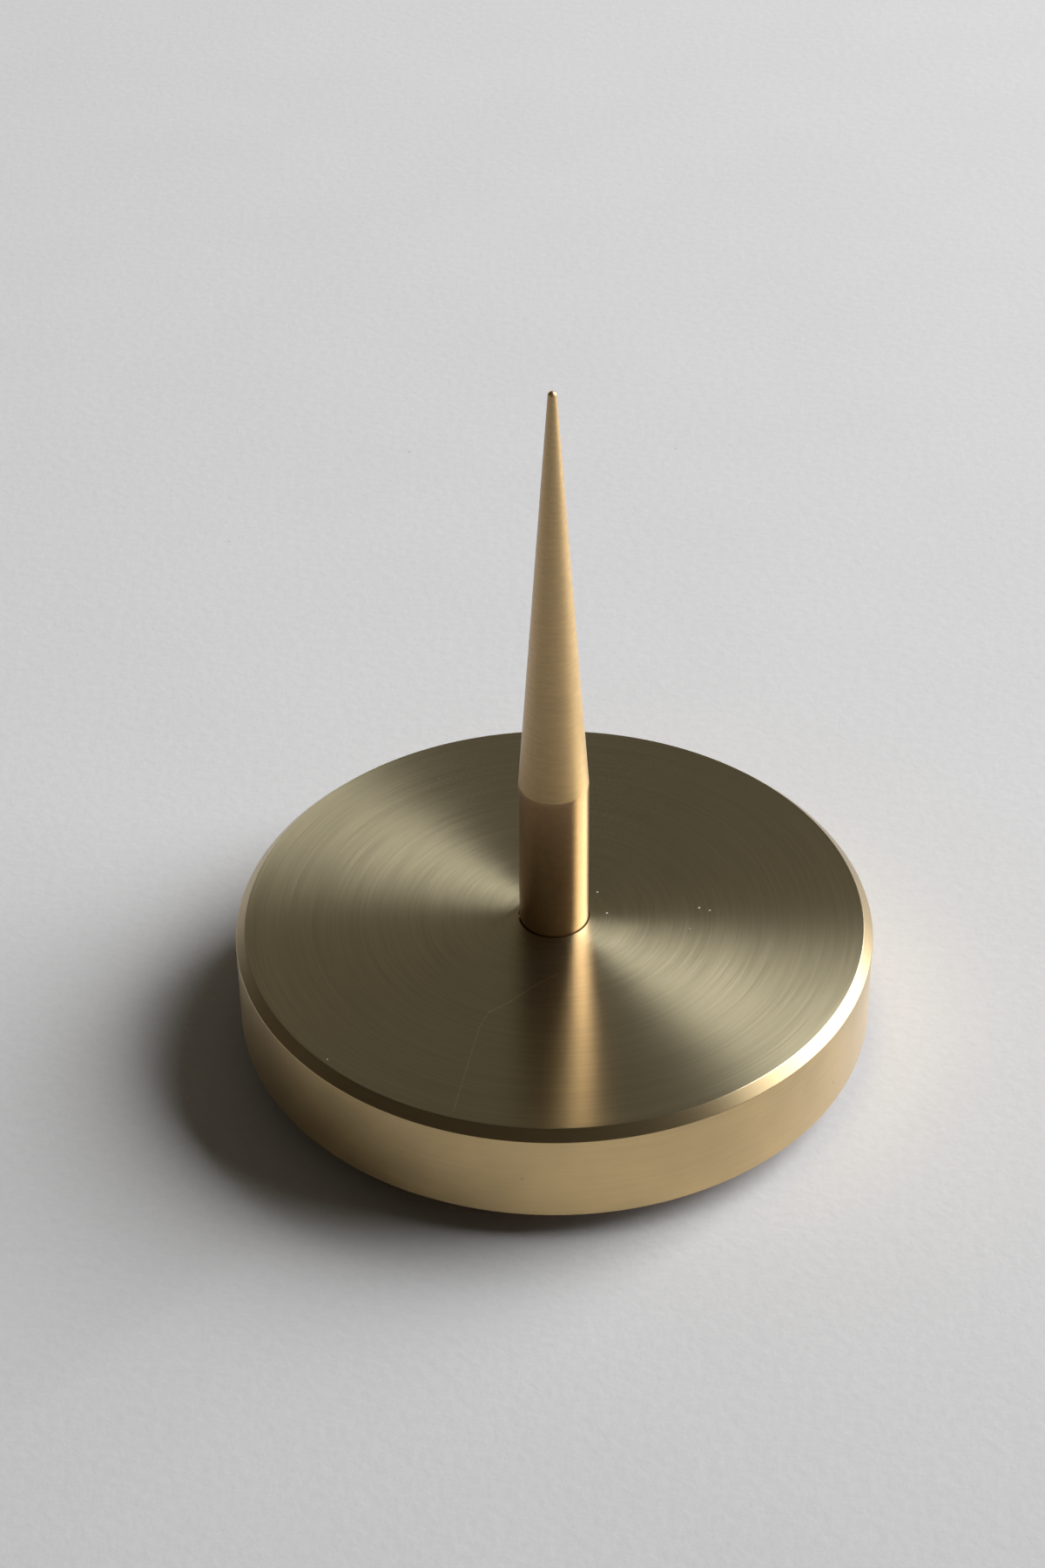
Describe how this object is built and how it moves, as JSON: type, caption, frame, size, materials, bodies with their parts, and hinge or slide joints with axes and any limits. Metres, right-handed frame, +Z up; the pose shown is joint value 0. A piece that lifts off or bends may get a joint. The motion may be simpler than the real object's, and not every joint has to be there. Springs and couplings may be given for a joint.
{
  "type": "candle spike",
  "caption": "Free-standing candle spike: a heavy brass disc with a slender upright point that a pillar candle is pressed on, screwed together from below.",
  "frame": {"origin": "centre of the cork ring's underside, on the surface that the part stands on", "axes": "+Z up along the spike to its tip; the part is round about Z, so X and Y are free and taken along the slit of the washer and square to it"},
  "size_m": [0.06, 0.06, 0.0695],
  "materials": {
    "brushed_brass": "turned, with fine concentric brushing on the top face and a satin rim",
    "satin_brass": "smooth plain shank under a finely turned satin cone",
    "stainless_screw": "plain stainless steel with a knurled head",
    "spring_steel": "plain spring steel, slightly dull",
    "cork": "pressed cork granules, matt"
  },
  "bodies": {
    "base": {"base_disc": "brushed_brass", "spring_washer": "spring_steel", "cork_ring": "cork"},
    "spike": {"spike": "satin_brass"},
    "screw": {"fixing_screw": "stainless_screw"}
  },
  "joints": [
    {"name": "screw_turn", "type": "hinge", "parent": "base", "child": "screw", "pos_m": [0, 0, 0.0086], "axis": [0, 0, -1], "range_deg": [0, 3600]},
    {"name": "spike_lift", "type": "slide", "parent": "base", "child": "spike", "axis": [0, 0, 1], "range_m": [0, 0.007]}
  ],
  "couplings": [
    {"joint": "screw_turn", "follows": "spike_lift", "rad_per_m": 8976}
  ]
}
